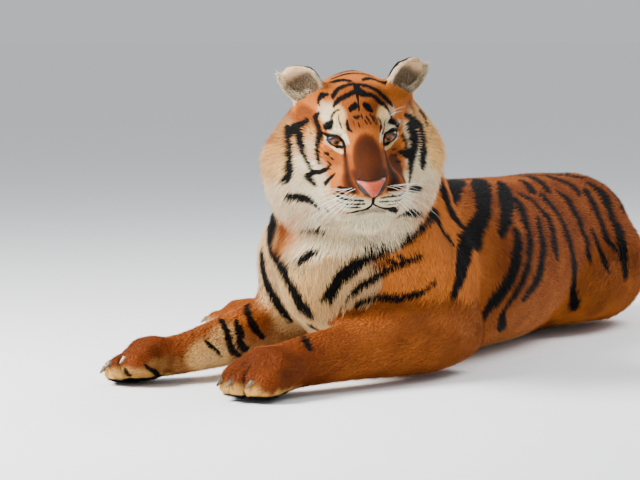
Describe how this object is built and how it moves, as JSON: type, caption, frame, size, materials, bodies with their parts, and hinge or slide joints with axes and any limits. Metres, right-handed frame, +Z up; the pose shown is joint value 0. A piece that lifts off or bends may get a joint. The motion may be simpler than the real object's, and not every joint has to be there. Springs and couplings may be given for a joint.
{
  "type": "siberian tiger",
  "caption": "Life-size tiger lying down, head up and turned to its left, forelegs stretched ahead and hind legs out to its right; for zoo, forest and museum scenes.",
  "frame": {"origin": "middle of the bounding box on the floor it lies on", "axes": "+Y from nose to tail, so the tiger looks along -Y; +X to its left; +Z up"},
  "size_m": [0.9918, 2.1278, 0.7192],
  "materials": {
    "chest_coat": "matte fur",
    "ear_left_coat": "matte fur",
    "ear_right_coat": "matte fur",
    "eye_left_eye": "wet gloss",
    "eye_right_eye": "wet gloss",
    "fore_left_claw_1_claw": "semi-gloss horn",
    "fore_left_claw_2_claw": "semi-gloss horn",
    "fore_left_claw_3_claw": "semi-gloss horn",
    "fore_left_claw_4_claw": "semi-gloss horn",
    "fore_left_forearm_coat": "matte fur",
    "fore_left_paw_coat": "matte fur",
    "fore_left_upper_arm_coat": "matte fur",
    "fore_right_claw_1_claw": "semi-gloss horn",
    "fore_right_claw_2_claw": "semi-gloss horn",
    "fore_right_claw_3_claw": "semi-gloss horn",
    "fore_right_claw_4_claw": "semi-gloss horn",
    "fore_right_forearm_coat": "matte fur",
    "fore_right_paw_coat": "matte fur",
    "fore_right_upper_arm_coat": "matte fur",
    "head_coat": "matte fur",
    "hind_left_claw_1_claw": "semi-gloss horn",
    "hind_left_claw_2_claw": "semi-gloss horn",
    "hind_left_claw_3_claw": "semi-gloss horn",
    "hind_left_claw_4_claw": "semi-gloss horn",
    "hind_left_foot_coat": "matte fur",
    "hind_left_shank_coat": "matte fur",
    "hind_left_thigh_coat": "matte fur",
    "hind_right_claw_1_claw": "semi-gloss horn",
    "hind_right_claw_2_claw": "semi-gloss horn",
    "hind_right_claw_3_claw": "semi-gloss horn",
    "hind_right_claw_4_claw": "semi-gloss horn",
    "hind_right_foot_coat": "matte fur",
    "hind_right_shank_coat": "matte fur",
    "hind_right_thigh_coat": "matte fur",
    "loins_coat": "matte fur",
    "muzzle_coat": "matte fur",
    "neck_coat": "matte fur",
    "rump_coat": "matte fur",
    "tail_base_coat": "matte fur",
    "tail_middle_coat": "matte fur",
    "tail_tip_coat": "matte fur"
  },
  "bodies": {
    "root": {"chest": "chest_coat", "ear_left": "ear_left_coat", "ear_right": "ear_right_coat", "eye_left": "eye_left_eye", "eye_right": "eye_right_eye", "fore_left_claw_1": "fore_left_claw_1_claw", "fore_left_claw_2": "fore_left_claw_2_claw", "fore_left_claw_3": "fore_left_claw_3_claw", "fore_left_claw_4": "fore_left_claw_4_claw", "fore_left_forearm": "fore_left_forearm_coat", "fore_left_paw": "fore_left_paw_coat", "fore_left_upper_arm": "fore_left_upper_arm_coat", "fore_right_claw_1": "fore_right_claw_1_claw", "fore_right_claw_2": "fore_right_claw_2_claw", "fore_right_claw_3": "fore_right_claw_3_claw", "fore_right_claw_4": "fore_right_claw_4_claw", "fore_right_forearm": "fore_right_forearm_coat", "fore_right_paw": "fore_right_paw_coat", "fore_right_upper_arm": "fore_right_upper_arm_coat", "head": "head_coat", "hind_left_claw_1": "hind_left_claw_1_claw", "hind_left_claw_2": "hind_left_claw_2_claw", "hind_left_claw_3": "hind_left_claw_3_claw", "hind_left_claw_4": "hind_left_claw_4_claw", "hind_left_foot": "hind_left_foot_coat", "hind_left_shank": "hind_left_shank_coat", "hind_left_thigh": "hind_left_thigh_coat", "hind_right_claw_1": "hind_right_claw_1_claw", "hind_right_claw_2": "hind_right_claw_2_claw", "hind_right_claw_3": "hind_right_claw_3_claw", "hind_right_claw_4": "hind_right_claw_4_claw", "hind_right_foot": "hind_right_foot_coat", "hind_right_shank": "hind_right_shank_coat", "hind_right_thigh": "hind_right_thigh_coat", "loins": "loins_coat", "muzzle": "muzzle_coat", "neck": "neck_coat", "rump": "rump_coat", "tail_base": "tail_base_coat", "tail_middle": "tail_middle_coat", "tail_tip": "tail_tip_coat"}
  },
  "joints": []
}
